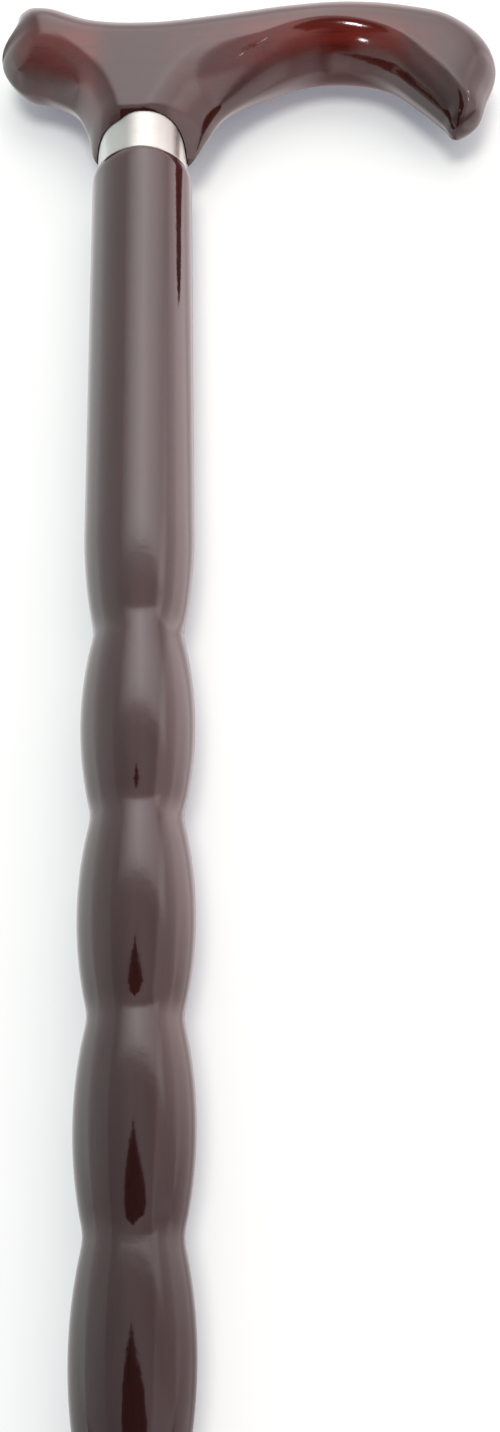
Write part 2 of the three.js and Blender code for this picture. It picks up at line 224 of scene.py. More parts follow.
def radius_beside_waist(distance, run, waist, swell):
    """The waist's fillet and then the arc of the swell that touches it."""
    rise = swell - waist
    centre_distance = (rise * rise + run * run) / (2 * rise)
    swell_arc = centre_distance - WAIST_FILLET
    touch = run * WAIST_FILLET / centre_distance
    if distance < touch:
        return waist + WAIST_FILLET - math.sqrt(WAIST_FILLET**2 - distance**2)
    return swell - swell_arc + math.sqrt(swell_arc**2 - (run - distance) ** 2)


def waist_to_swell(waist_z, run, waist, swell, upward):
    """The points above or below a waist, without the waist itself, from the lowest up."""
    points = []
    for i in range(1, WAIST_STEPS + 1):
        distance = run * i / WAIST_STEPS
        radius = radius_beside_waist(distance, run, waist, swell)
        points.append((radius, waist_z + (distance if upward else -distance)))
    return points if upward else points[::-1]


def rounded_corner(start, end, corner, steps):
    """A quarter of an ellipse that touches both sides of the corner."""
    points = []
    for i in range(steps + 1):
        turn = i / steps * math.pi / 2
        to_start = 1 - math.sin(turn)
        to_end = 1 - math.cos(turn)
        points.append(tuple(
            corner[k] + (start[k] - corner[k]) * to_start + (end[k] - corner[k]) * to_end
            for k in (0, 1)
        ))
    return points


def foot_radius_at(z):
    foot_top = last_waist_z - FOOT_RUN_OUT
    return mix(SHAFT_END_RADIUS, FOOT_RADIUS, (z - shaft_bottom) / (foot_top - shaft_bottom))


def waist_radius(index):
    return mix(WAIST_RADIUS, LAST_WAIST_RADIUS, index / BEAD_COUNT)


def bead_radius(index):
    return mix(BEAD_RADIUS, LAST_BEAD_RADIUS, index / (BEAD_COUNT - 1))


def foot_profile():
    last_waist = waist_radius(BEAD_COUNT)
    return [
        (0, shaft_bottom),
        (SHAFT_END_RADIUS - END_CHAMFER, shaft_bottom),
        (foot_radius_at(shaft_bottom + END_CHAMFER), shaft_bottom + END_CHAMFER),
        *waist_to_swell(last_waist_z, FOOT_RUN_OUT, last_waist, FOOT_RADIUS, upward=False),
        (last_waist, last_waist_z),
    ]


def bead_profile(index):
    """One bead and the waist on top of it; beads are counted from the top."""
    top_z = first_waist_z - index * BEAD_PITCH
    run = BEAD_PITCH / 2
    radius = bead_radius(index)
    below, above = waist_radius(index + 1), waist_radius(index)
    return [
        *waist_to_swell(top_z - BEAD_PITCH, run, below, radius, upward=True),
        *waist_to_swell(top_z, run, above, radius, upward=False)[1:],
        (above, top_z),
    ]


def tenon_profile():
    """The tenon and, down its middle, the screw's hole."""
    hole = SCREW_RADIUS + FIT
    hole_bottom = tenon_top - SCREW_IN_SHAFT - FIT
    return [
        (tenon_radius, shoulder_z),
        (tenon_radius, tenon_top - TENON_CHAMFER),
        (tenon_radius - TENON_CHAMFER, tenon_top),
        (hole, tenon_top),
        (hole, hole_bottom),
        (0, hole_bottom),
    ]


def shaft_profile():
    points = foot_profile()
    for index in reversed(range(BEAD_COUNT)):
        points += bead_profile(index)
    points += waist_to_swell(
        first_waist_z, TOP_RUN_OUT, waist_radius(0), SWELL_RADIUS, upward=True
    )
    points += rounded_corner(
        (SHAFT_RADIUS, shoulder_z - SHOULDER_DROP),
        (collar_radius, shoulder_z),
        (SHAFT_RADIUS, shoulder_z),
        steps=10,
    )
    return points + tenon_profile()


def collar_profile():
    bottom = shoulder_z + FIT
    top = bottom + COLLAR_LENGTH
    outer = collar_radius
    inner = outer - COLLAR_WALL
    rounded = outer - COLLAR_EDGE
    return [
        (inner, bottom),
        *rounded_corner((rounded, bottom), (outer, bottom + COLLAR_EDGE), (outer, bottom), steps=5),
        *rounded_corner((outer, top - COLLAR_EDGE), (rounded, top), (outer, top), steps=5),
        (inner, top),
        (inner, bottom),
    ]


def sole_profile():
    """A flat pad and round it grooves and ridges of one width."""
    points = [(0, 0), (SOLE_PAD_RADIUS, 0)]
    radius = SOLE_PAD_RADIUS
    while radius + 3 * SOLE_GROOVE < TIP_BASE_RADIUS - TIP_EDGE:
        points += [
            (radius + GROOVE_SLOPE * SOLE_GROOVE, SOLE_GROOVE),
            (radius + (1 - GROOVE_SLOPE) * SOLE_GROOVE, SOLE_GROOVE),
            (radius + SOLE_GROOVE, 0),
            (radius + 2 * SOLE_GROOVE, 0),
        ]
        radius += 2 * SOLE_GROOVE
    return points


def socket_radius_at(z):
    return foot_radius_at(z) + FIT


def sleeve_radius_at(z):
    return socket_radius_at(z) + TIP_WALL


def flare_profile():
    """The hollow curve from the ferrule's base up to its sleeve."""
    top = TIP_BASE_HEIGHT + TIP_FLARE_HEIGHT
    start = (TIP_BASE_RADIUS - TIP_EDGE / 2, TIP_BASE_HEIGHT)
    bend = (sleeve_radius_at(top), TIP_BASE_HEIGHT + TIP_EDGE)
    end = (sleeve_radius_at(top), top)
    points = []
    for i in range(FLARE_STEPS + 1):
        t = i / FLARE_STEPS
        points.append(tuple(
            (1 - t) ** 2 * start[k] + 2 * t * (1 - t) * bend[k] + t * t * end[k] for k in (0, 1)
        ))
    return points


def lip_profile(top):
    """The thick rim round the ferrule's mouth."""
    bottom = top - TIP_BEAD_LENGTH
    sleeve = sleeve_radius_at(bottom)
    mouth = sleeve_radius_at(top)
    return [
        (sleeve, bottom),
        *rounded_corner(
            (sleeve + TIP_BEAD_SLOPE, bottom + TIP_BEAD_SLOPE),
            (sleeve + TIP_BEAD, bottom + TIP_BEAD_FULL),
            (sleeve + TIP_BEAD, bottom + TIP_BEAD_BEND),
            steps=4,
        ),
        *rounded_corner(
            (mouth + TIP_BEAD, top - TIP_BEAD), (mouth, top), (mouth + TIP_BEAD, top), steps=5
        ),
    ]


def tip_profile():
    top = shaft_bottom + TIP_SOCKET_DEPTH
    base = TIP_BASE_RADIUS
    return [
        *sole_profile(),
        *rounded_corner((base - TIP_EDGE, 0), (base, TIP_EDGE), (base, 0), steps=7),
        *flare_profile(),
        *lip_profile(top),
        (socket_radius_at(top), top),
        (socket_radius_at(shaft_bottom), shaft_bottom - FIT),
        (socket_radius_at(shaft_bottom), TIP_FLOOR),
        (0, TIP_FLOOR),
    ]


# Meshes

def tidy_mesh(mesh):
    bm = bmesh.new()
    bm.from_mesh(mesh)
    bmesh.ops.remove_doubles(bm, verts=bm.verts, dist=MERGE_DISTANCE)
    bmesh.ops.recalc_face_normals(bm, faces=bm.faces)
    bm.to_mesh(mesh)
    bm.free()
    mesh.polygons.foreach_set("use_smooth", [True] * len(mesh.polygons))
    mesh.set_sharp_from_angle(angle=SHARP_ANGLE)
    mesh.update()


def make_object(name, vertices, faces):
    """An object from vertices in millimetres."""
    mesh = bpy.data.meshes.new(name)
    mesh.from_pydata([Vector(v) * MM for v in vertices], [], faces)
    mesh.validate()
    obj = bpy.data.objects.new(name, mesh)
    bpy.context.scene.collection.objects.link(obj)
    tidy_mesh(mesh)
    return obj


def turned(name, profile):
    """The profile turned about the Z axis; a point on the axis is one vertex."""
    vertices, rings = [], []
    for radius, z in profile:
        start = len(vertices)
        if radius == 0:
            rings.append([start] * TURNED_SIDES)
            vertices.append((0, 0, z))
            continue
        rings.append(range(start, start + TURNED_SIDES))
        for j in range(TURNED_SIDES):
            turn = 2 * math.pi * j / TURNED_SIDES
            vertices.append((radius * math.cos(turn), radius * math.sin(turn), z))
    faces = []
    for low, high in zip(rings, rings[1:]):
        for j in range(TURNED_SIDES):
            k = (j + 1) % TURNED_SIDES
            corners = list(dict.fromkeys([low[j], low[k], high[k], high[j]]))
            if len(corners) > 2:
                faces.append(corners)
    return make_object(name, vertices, faces)


def ring_faces(rings, sides):
    """Faces between rings of vertices that follow a first vertex and come before a last one."""
    last = rings * sides + 1
    faces = []
    for j in range(sides):
        k = (j + 1) % sides
        faces.append((0, 1 + k, 1 + j))
        faces.append((last, last - sides + j, last - sides + k))
        for start in range(1, last - sides, sides):
            faces.append((start + j, start + k, start + sides + k, start + sides + j))
    return faces


def cut(obj, tool):
    """Takes the tool out of the object and keeps the result as its mesh."""
    modifier = obj.modifiers.new("cut", "BOOLEAN")
    modifier.operation = "DIFFERENCE"
    modifier.solver = "EXACT"
    modifier.object = tool
    evaluated = obj.evaluated_get(bpy.context.evaluated_depsgraph_get())
    mesh = bpy.data.meshes.new_from_object(evaluated)
    obj.modifiers.clear()
    obj.data = mesh
    bpy.data.objects.remove(tool)
    tidy_mesh(mesh)


# Handle

def outline_part(reach, low, high, shares):
    """Points of the outline as shares of a reach along X and of the rise from low to high."""
    return [(across * reach, shoulder_z + mix(low, high, up)) for across, up in shares]


def outline_stretches():
    """The outline from the blunt end over the top to the nose, and back along the underside."""
    nose_ear_reach = seat_radius + NOSE_EAR_WALL
    stub_ear_reach = seat_radius + STUB_EAR_WALL
    return {
        "blunt_end": outline_part(-STUB_REACH, STUB_UNDERSIDE, STUB_HEIGHT, [(1, 0.45), (0.911, 0.73)]),
        "stub_top": outline_part(-STUB_REACH, STUB_UNDERSIDE, STUB_HEIGHT, [(0.861, 0.99), (0.651, 1)]),
        "top_line": outline_part(NOSE_REACH, SADDLE_HEIGHT, CREST_HEIGHT, [
            (-0.134, 0.166), (0.022, 0), (0.219, 0.35), (0.416, 0.81), (0.589, 1), (0.74, 0.89),
        ]),
        "nose": outline_part(NOSE_REACH, HOOK_HEIGHT, CREST_HEIGHT, [
            (0.882, 0.908), (0.975, 0.708), (1, 0.492), (0.97, 0.263), (0.936, 0.081),
        ]),
        "hook": outline_part(NOSE_REACH, HOOK_HEIGHT, ARCH_HEIGHT, [(0.865, 0), (0.835, 0.183)]),
        "arch": outline_part(NOSE_REACH, HOOK_HEIGHT, ARCH_HEIGHT, [
            (0.76, 0.551), (0.679, 0.868), (0.567, 1), (0.46, 0.958), (0.327, 0.686),
            (0.232, 0.355),
        ]),
        "nose_ear": outline_part(nose_ear_reach, EAR_HEIGHT, ARCH_HEIGHT, [
            (1.215, 0.24), (1.003, 0.052), (0.939, 0.01),
        ]),
        "stub_ear": outline_part(-stub_ear_reach, EAR_HEIGHT, STUB_UNDERSIDE, [
            (0.895, 0), (0.997, 0.072), (1.132, 0.429), (1.438, 0.807),
        ]),
        "stub_underside": outline_part(-STUB_REACH, STUB_UNDERSIDE, STUB_HEIGHT, [
            (0.655, 0), (0.869, 0.104),
        ]),
    }


def closed_curve(points):
    """Centripetal Catmull-Rom curve through a closed row of points."""
    points = np.array(points, float)
    count = len(points)
    curve = []
    for i in range(count):
        near = [points[(i + k) % count] for k in (-1, 0, 1, 2)]
        knots = [0.0]
        for a, b in zip(near, near[1:]):
            knots.append(knots[-1] + math.sqrt(np.linalg.norm(b - a)))
        for step in range(OUTLINE_STEPS):
            at = mix(knots[1], knots[2], step / OUTLINE_STEPS)
            row = list(near)
            for level in (1, 2, 3):
                for k in range(4 - level):
                    low, high = (1, 2) if level == 3 else (k, k + level)
                    share = (at - knots[low]) / (knots[high] - knots[low])
                    row[k] = mix(row[k], row[k + 1], share)
            curve.append(row[0])
    curve.append(curve[0])
    return np.array(curve)


def neck_rounding(at_neck, beyond, spread, side):
    """An edge rounding that changes along X on one side of the collar's seat."""
    def rounding(x):
        return mix(at_neck, beyond, smooth_step(seat_radius, spread * seat_radius, side * x))
    return rounding


def handle_outline():
    """The outline as a closed polygon, and its four edges with their powers and roundings."""
    stretches = outline_stretches()
    polygon = closed_curve([point for points in stretches.values() for point in points])
    place = {}
    count = 0
    for name, points in stretches.items():
        place[name] = count
        count += len(points)

    def between(start, end):
        return polygon[start * OUTLINE_STEPS:end * OUTLINE_STEPS + 1]

    blunt = np.vstack([polygon[-OUTLINE_STEPS // 2:], between(0, place["stub_top"])])
    back = between(place["stub_top"], place["hook"])
    nose_ear_tip = place["stub_ear"] - 1
    arch = between(place["hook"], nose_ear_tip)
    stub_side = between(place["stub_ear"], count)
    arch_rounding = neck_rounding(NOSE_NECK_ROUNDING, ARCH_ROUNDING, NOSE_NECK_SPREAD, 1)
    stub_rounding = neck_rounding(STUB_NECK_ROUNDING, STUB_ROUNDING, STUB_NECK_SPREAD, -1)
    return polygon, [
        (blunt, END_POWER, lambda x: END_ROUNDING),
        (back, BACK_POWER, lambda x: BACK_ROUNDING),
        (arch, UNDERSIDE_POWER, arch_rounding),
        (stub_side, UNDERSIDE_POWER, stub_rounding),
    ]


def outline_spans(polygon, xs):
    """Top and bottom of the outline at each of many distances along X."""
    top = np.full(len(xs), -np.inf)
    bottom = np.full(len(xs), np.inf)
    for a, b in zip(polygon, polygon[1:]):
        if a[0] == b[0]:
            continue
        share = (xs - a[0]) / (b[0] - a[0])
        z = a[1] + (b[1] - a[1]) * share
        hit = (share >= 0) & (share <= 1)
        top = np.where(hit, np.maximum(top, z), top)
        bottom = np.where(hit, np.minimum(bottom, z), bottom)
    return top, bottom


def distance_to(line, x, z):
    """Distance of many points from a row of joined straight pieces."""
    distance = np.full(x.shape, np.inf)
    for a, b in zip(line, line[1:]):
        along = b - a
        squared_length = along @ along
        if squared_length == 0:
            continue
        t = ((x - a[0]) * along[0] + (z - a[1]) * along[1]) / squared_length
        t = np.clip(t, 0, 1)
        distance = np.minimum(
            distance, np.hypot(x - a[0] - t * along[0], z - a[1] - t * along[1])
        )
    return distance


def half_width(edges, x, z):
    """Half the handle's thickness at points of its outline's plane."""
    slimming = smooth_step(SLIM_FROM, 1, x / NOSE_REACH)
    full = mix(seat_radius + LIP_WALL, NOSE_HALF_WIDTH, slimming)
    below = LIP_HEIGHT - (z - shoulder_z)
    bevel = LIP_SLOPE * LIP_SOFTNESS * np.log1p(np.exp(below / LIP_SOFTNESS))
    full = np.where(x < SLIM_FROM * NOSE_REACH, full - bevel, full)
    blend = np.ones_like(x)
    for line, power, rounding in edges:
        inside = np.minimum(distance_to(line, x, z) / rounding(x), 1)
        share = (1 - (1 - inside) ** power) ** (1 / power)
        blend += np.maximum(share, THINNEST_SHARE) ** -BLEND_POWER - 1
    return full * blend ** (-1 / BLEND_POWER)


def handle_stations(polygon):
    """Distances along X that follow the outline's length, close together where it is steep."""
    left, right = polygon[:, 0].min(), polygon[:, 0].max()
    turn = np.linspace(0, np.pi, STATION_SAMPLES)
    xs = (left + right) / 2 - (right - left) / 2 * np.cos(turn)
    xs = xs[1:-1]
    top, bottom = outline_spans(polygon, xs)
    step = np.hypot(np.diff(xs), np.maximum(abs(np.diff(top)), abs(np.diff(bottom))))
    step = np.minimum(step, LONGEST_SAMPLE_STEP)
    travelled = np.concatenate([[0], np.cumsum(step)])
    return np.interp(np.linspace(0, travelled[-1], HANDLE_STATIONS), travelled, xs)


def handle_solid():
    """Rings of vertices at the stations; the top and bottom of a ring lie on the outline."""
    polygon, edges = handle_outline()
    xs = handle_stations(polygon)
    top, bottom = outline_spans(polygon, xs)
    back_depth = np.minimum(BACK_DEPTH_SHARE * (top - bottom), BACK_DEPTH)
    widest = top - back_depth
    turn = np.arange(HANDLE_SIDES) / HANDLE_SIDES * 2 * np.pi
    across, up = np.cos(turn), np.sin(turn)
    above = back_depth[:, None] * np.maximum(up, 0) ** (2 / BACK_POWER)
    under = (bottom - widest)[:, None] * np.maximum(-up, 0) ** (2 / UNDERSIDE_POWER)
    z = widest[:, None] + above + under
    x = np.repeat(xs[:, None], HANDLE_SIDES, axis=1)
    side = np.sign(np.round(across, 9))
    y = side * half_width(edges, x, z)
    left = polygon[polygon[:, 0].argmin()]
    right = polygon[polygon[:, 0].argmax()]
    vertices = [(left[0], 0, left[1])]
    vertices += np.stack([x, y, z], axis=-1).reshape(-1, 3).tolist()
    vertices.append((right[0], 0, right[1]))
    return make_object("handle_skin", vertices, ring_faces(HANDLE_STATIONS, HANDLE_SIDES))


def handle_bore():
    """What is cut out of the handle for the collar, the tenon and the screw."""
    seat_top = shoulder_z + FIT + COLLAR_LENGTH + FIT
    socket = tenon_radius + FIT
    hole = SCREW_RADIUS + FIT
    hole_top = tenon_top + SCREW_IN_HANDLE + FIT
    return turned("bore_tool", [
        (0, shoulder_z - SHOULDER_DROP),
        (seat_radius, shoulder_z - SHOULDER_DROP),
        (seat_radius, seat_top),
        (socket, seat_top),
        (socket, tenon_top + FIT),
        (hole, tenon_top + FIT),
        (hole, hole_top),
        (0, hole_top),
    ])


# Shader nodes

def new_material(name):
    material = bpy.data.materials.new(name)
    material.use_nodes = True
    tree = material.node_tree
    return material, tree, tree.nodes["Principled BSDF"]


def add(tree, kind, settings=None, **inputs):
    """A node with its inputs given by name, or by number as _0, _1 and so on."""
    node = tree.nodes.new(kind)
    for key, value in (settings or {}).items():
        setattr(node, key, value)
    for key, value in inputs.items():
        socket = node.inputs[int(key[1:])] if key[0] == "_" else node.inputs[key]
        if isinstance(value, bpy.types.NodeSocket):
            tree.links.new(value, socket)
        else:
            socket.default_value = value
    return node


def maths(tree, operation, a, b=0.0, c=0.0):
    return add(tree, "ShaderNodeMath", {"operation": operation}, _0=a, _1=b, _2=c).outputs[0]


def ramp(tree, factor, stops, interpolation="LINEAR"):
    node = tree.nodes.new("ShaderNodeValToRGB")
    node.color_ramp.interpolation = interpolation
    elements = node.color_ramp.elements
    while len(elements) < len(stops):
        elements.new(0.5)
    for element, (place, colour) in zip(elements, stops):
        element.position = place
        if isinstance(colour, (int, float)):
            colour = (colour, colour, colour)
        element.color = (*colour, 1)
    tree.links.new(factor, node.inputs["Fac"])
    return node.outputs["Color"]


def mixed(tree, factor, a, b, blend="MIX"):
    node = tree.nodes.new("ShaderNodeMix")
    node.data_type = "RGBA"
    node.blend_type = blend
    for socket, value in ((node.inputs[0], factor), (node.inputs[6], a), (node.inputs[7], b)):
        if isinstance(value, bpy.types.NodeSocket):
            tree.links.new(value, socket)
        elif isinstance(value, (int, float)):
            socket.default_value = value
        else:
            socket.default_value = (*value, 1)
    return node.outputs[2]


def multiplied(tree, a, b):
    return mixed(tree, 1.0, a, b, "MULTIPLY")


def grain(tree, stretch, scale, detail, roughness, distortion=0.0):
    """Noise in the object's own space, drawn out along the axes with a small stretch; 0 to 1."""
    place = add(tree, "ShaderNodeTexCoord").outputs["Object"]
    drawn = add(tree, "ShaderNodeMapping", Vector=place, Scale=stretch).outputs["Vector"]
    noise = add(
        tree, "ShaderNodeTexNoise", Vector=drawn, Scale=scale, Detail=detail,
        Roughness=roughness, Distortion=distortion,
    )
    return noise.outputs["Fac"]


def own_axes(tree):
    """X, Y and Z in the object's own space, in metres."""
    place = add(tree, "ShaderNodeTexCoord").outputs["Object"]
    return add(tree, "ShaderNodeSeparateXYZ", Vector=place).outputs


def by_place(tree, axis, stops):
    """A grey that follows the piece's own X, Y or Z, given in millimetres."""
    low, high = stops[0][0], stops[-1][0]
    along = own_axes(tree)[axis]
    share = maths(tree, "MULTIPLY_ADD", along, 1 / MM / (high - low), -low / (high - low))
    return ramp(tree, share, [((at - low) / (high - low), value) for at, value in stops], "EASE")


def link_finish(tree, shader, colour, roughness, bump):
    tree.links.new(colour, shader.inputs["Base Color"])
    tree.links.new(roughness, shader.inputs["Roughness"])
    tree.links.new(bump.outputs["Normal"], shader.inputs["Normal"])


def set_constants(shader, values):
    for name, value in values.items():
        shader.inputs[name].default_value = value


# Materials of the cane

def lacquered_wood(name, stretch, dark, red, redness, specular):
    """Dark lacquer over fine straight grain; red shows under it where redness is 1, which on the handle
    also holds painted light and painted shade.
    """
    material, tree, shader = new_material(name)
    colour = mixed(tree, redness(tree), dark, red)
    streaks = grain(tree, stretch, scale=260, detail=5, roughness=0.62, distortion=0.4)
    cloud = grain(tree, stretch, scale=60, detail=3, roughness=0.5)
    pores = grain(tree, stretch, scale=1500, detail=2, roughness=0.5)
    for noise, shades in (
        (streaks, [(0.3, 0.8), (0.68, 1.15)]),
        (cloud, [(0.3, 0.82), (0.7, 1.15)]),
        (pores, [(0.32, 0.75), (0.42, 1.0)]),
    ):
        colour = multiplied(tree, colour, ramp(tree, noise, shades))
    gloss = grain(tree, EVEN, scale=140, detail=3, roughness=0.6)
    roughness = ramp(tree, gloss, [(0.35, 0.08), (0.7, 0.125)])
    peel = grain(tree, EVEN, scale=420, detail=2, roughness=0.5)
    wavy = add(tree, "ShaderNodeBump", Height=peel, Strength=0.06, Distance=0.0004)
    fine = add(
        tree, "ShaderNodeBump", Height=pores, Strength=0.05, Distance=0.0001,
        Normal=wavy.outputs["Normal"],
    )
    link_finish(tree, shader, colour, roughness, fine)
    set_constants(shader, {
        "IOR": 1.5, "Specular IOR Level": specular, "Specular Tint": (1, 0.94, 0.94, 1),
    })
    return material


def handle_stain_and_painted_light(tree):
    """Red under the arch and on the stub's face, partly the wood's own red and partly painted light;
    dark at the neck, the nose and every edge, partly painted shade.
    """
    # Low values darken the creases at the neck and the nose, the top and the underside's middle: this
    # is partly painted shade.
    lengthwise = by_place(tree, "X", [
        (-37, 0.15), (-31, 0.6), (-24, 0.75), (-14, 0.72), (-9, 0.2), (-5, 0.06), (3, 0.06),
        (12, 0.2), (22, 0.35), (31, 0.65), (41, 0.95), (55, 1), (64, 0.8), (71, 0.3), (80, 0.05),
        (92, 0),
    ])
    face = by_place(tree, "Y", [(-13, 1), (-9, 1), (-4, 0.3), (4, 0.3), (9, 1), (13, 1)])
    upward = by_place(tree, "Z", [(864, 1), (897, 1), (904, 0.3), (915, 0.3)])
    return multiplied(tree, multiplied(tree, lengthwise, face), upward)


def shaft_redness(tree):
    """Redder towards the top, in soft patches."""
    lengthwise = by_place(tree, "Z", [(0, 0.35), (560, 0.4), (700, 0.85), (900, 1)])
    blotches = grain(tree, (1, 1, 0.3), scale=45, detail=3, roughness=0.5)
    return multiplied(tree, lengthwise, ramp(tree, blotches, [(0.35, 0.6), (0.65, 1.0)]))


def polished_metal():
    """Bright metal with brush marks that run round the collar."""
    material, tree, shader = new_material("polished_metal")
    haze = grain(tree, EVEN, scale=90, detail=4, roughness=0.6)
    colour = ramp(tree, haze, [(0.3, (0.56, 0.552, 0.517)), (0.7, (0.63, 0.622, 0.586))])
    brushing = grain(tree, (0.08, 0.08, 1), scale=3200, detail=3, roughness=0.6)
    roughness = ramp(tree, brushing, [(0.3, 0.3), (0.7, 0.4)])
    bump = add(tree, "ShaderNodeBump", Height=brushing, Strength=0.06, Distance=0.00005)
    link_finish(tree, shader, colour, roughness, bump)
    set_constants(shader, {"Metallic": 1, "Anisotropic": 0.9, "Anisotropic Rotation": 0.25})
    return material


def zinced_steel():
    material, tree, shader = new_material("zinced_steel")
    spangle = grain(tree, EVEN, scale=500, detail=4, roughness=0.7)
    colour = ramp(tree, spangle, [(0.35, (0.32, 0.33, 0.34)), (0.65, (0.5, 0.5, 0.5))])
    roughness = ramp(tree, spangle, [(0.3, 0.3), (0.7, 0.45)])
    bump = add(tree, "ShaderNodeBump", Height=spangle, Strength=0.15, Distance=0.0001)
    link_finish(tree, shader, colour, roughness, bump)
    set_constants(shader, {"Metallic": 1})
    return material


def black_rubber():
    material, tree, shader = new_material("black_rubber")
    dust = grain(tree, EVEN, scale=110, detail=5, roughness=0.65)
    colour = ramp(tree, dust, [(0.35, (0.018, 0.018, 0.019)), (0.75, (0.036, 0.035, 0.034))])
    grit = grain(tree, EVEN, scale=2400, detail=3, roughness=0.6)
    roughness = ramp(tree, grit, [(0.3, 0.55), (0.7, 0.78)])
    bump = add(tree, "ShaderNodeBump", Height=grit, Strength=0.25, Distance=0.0001)
    link_finish(tree, shader, colour, roughness, bump)
    return material


# Pieces of the cane

def dress(piece, body, slot, material, *nodes):
    piece.data.materials.clear()
    piece.data.materials.append(material)
    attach(piece, body)
    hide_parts(*nodes)


handle_skin = handle_solid()
cut(handle_skin, handle_bore())
# The handle's redness is its red stain with painted light and painted shade mixed into it.
handle_wood = lacquered_wood(
    "handle_lacquer", ALONG_HANDLE, dark=(0.026, 0.0075, 0.006), red=(0.13, 0.0145, 0.0095),
    redness=handle_stain_and_painted_light, specular=0.76,
)
shaft_wood = lacquered_wood(
    "shaft_lacquer", ALONG_SHAFT, dark=(0.017, 0.006, 0.0055), red=(0.043, 0.0075, 0.007),
    redness=shaft_redness, specular=0.92,
)
dress(handle_skin, "stick", "lacquered_wood", handle_wood, "handle")
dress(turned("shaft_skin", shaft_profile()), "stick", "lacquered_wood", shaft_wood, "shaft")
dress(turned("collar_skin", collar_profile()), "stick", "polished_metal", polished_metal(), "collar")
dress(turned("tip_skin", tip_profile()), "tip", "black_rubber", black_rubber(), "rubber_tip")
steel = zinced_steel()
for node in ("joining_screw", "tip_washer"):
    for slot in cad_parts[node].material_slots:
        slot.material = steel


# Studio

def sheet(name, corners, faces, material):
    mesh = bpy.data.meshes.new(name)
    mesh.from_pydata(corners, [], faces)
    obj = bpy.data.objects.new(name, mesh)
    bpy.context.scene.collection.objects.link(obj)
    mesh.materials.append(material)
    return obj


def flat_sheet(name, corners, material):
    return sheet(name, corners, [tuple(range(len(corners)))], material)


def hide_from(obj, *rays):
    for ray in rays:
        setattr(obj, "visible_" + ray, False)


def collection_of(name, obj):
    collection = bpy.data.collections.new(name)
    collection.objects.link(obj)
    return collection


def add_lamp(name, data, receivers):
    """A lamp that lights one collection only."""
    lamp = bpy.data.objects.new(name, data)
    lamp.light_linking.receiver_collection = receivers
    bpy.context.scene.collection.objects.link(lamp)
    return lamp


def use_surface(tree, shader):
    tree.links.new(shader.outputs[0], tree.nodes["Material Output"].inputs["Surface"])


def pale_material(name, colour, glow):
    material, tree, shader = new_material(name)
    fibre = grain(tree, EVEN, scale=30, detail=3, roughness=0.6)
    tone = ramp(tree, fibre, [(0.3, tuple(c * FIBRE_SHADE for c in colour)), (0.7, colour)])
    tree.links.new(tone, shader.inputs["Base Color"])
    set_constants(shader, {
        "Roughness": 0.9, "Specular IOR Level": 0.1, "Emission Color": (*glow, 1),
        "Emission Strength": 1,
    })
    return material


def clear_from_behind(material):
    tree = material.node_tree
    behind = add(tree, "ShaderNodeNewGeometry").outputs["Backfacing"]
    paper = tree.nodes["Principled BSDF"].outputs[0]
    clear = add(tree, "ShaderNodeBsdfTransparent").outputs[0]
    use_surface(tree, add(tree, "ShaderNodeMixShader", _0=behind, _1=paper, _2=clear))


def backdrop():
    """A pale sheet close behind the cane that is seen from its front only."""
    material = pale_material("backdrop_paper", colour=(0.61, 0.61, 0.565), glow=(0.14, 0.17, 0.215))
    clear_from_behind(material)
    profile = [
        (WALL_FOOT_Y, FLOOR_Z), (WALL_FOOT_Y, WALL_BEND_BOTTOM), (WALL_Y, WALL_BEND_TOP),
        (WALL_Y, WALL_TOP),
    ]
    corners = [(side * WALL_HALF_WIDTH, y, z) for y, z in profile for side in (-1, 1)]
    faces = [(i, i + 1, i + 3, i + 2) for i in range(0, len(corners) - 2, 2)]
    wall = sheet("backdrop", corners, faces, material)
    hide_from(wall, "diffuse", "glossy", "shadow")
    wall_fill(wall)


def wall_fill(wall):
    """A wide sun for the sheet alone, which keeps the cane's shadow close behind it."""
    data = bpy.data.lights.new("wall_fill", "SUN")
    data.energy = WALL_FILL_STRENGTH
    data.angle = math.radians(WALL_FILL_SPREAD)
    lamp = add_lamp("wall_fill", data, collection_of("wall_only", wall))
    lamp.rotation_euler = (math.radians(WALL_FILL_PITCH), 0, math.radians(WALL_FILL_TURN))


def floor():
    material = pale_material("floor_paper", colour=(0.5, 0.52, 0.52), glow=(0.38, 0.39, 0.4))
    reach = FLOOR_HALF_WIDTH
    ground = flat_sheet("floor", [
        (-reach, -reach, FLOOR_Z), (reach, -reach, FLOOR_Z), (reach, reach, FLOOR_Z),
        (-reach, reach, FLOOR_Z),
    ], material)
    hide_from(ground, "diffuse", "glossy", "shadow")


def dark_card():
    """A dark shape in front of the cane, seen only in its gloss."""
    material, _, shader = new_material("dark_card")
    set_constants(shader, {"Base Color": (0.02, 0.02, 0.02, 1), "Roughness": 1})
    outline = [
        (0.5, 0), (0.5, 0.44), (0.42, 0.5), (0.37, 0.57), (0.27, 0.618), (0.18, 0.67),
        (0.095, 0.72), (0.045, 0.77), (0.02, 0.797), (-0.01, 0.77), (-0.08, 0.72),
        (-0.135, 0.67), (-0.185, 0.618), (-0.21, 0.55), (-0.225, 0.48), (-0.225, 0),
    ]
    card = flat_sheet("dark_card", [(x, CARD_Y, z) for x, z in outline], material)
    hide_from(card, "camera", "diffuse", "shadow")


def scrim(name, start, end, passed):
    """An upright gauze, seen in the gloss only; passed is what it lets through by height."""
    material, tree, _ = new_material(name)
    shade = ramp(tree, own_axes(tree)["Z"], passed)
    use_surface(tree, add(tree, "ShaderNodeBsdfTransparent", Color=shade))
    gauze = flat_sheet(name, [
        (*start, 0), (*end, 0), (*end, GAUZE_TOP), (*start, GAUZE_TOP),
    ], material)
    hide_from(gauze, "camera", "diffuse", "shadow")


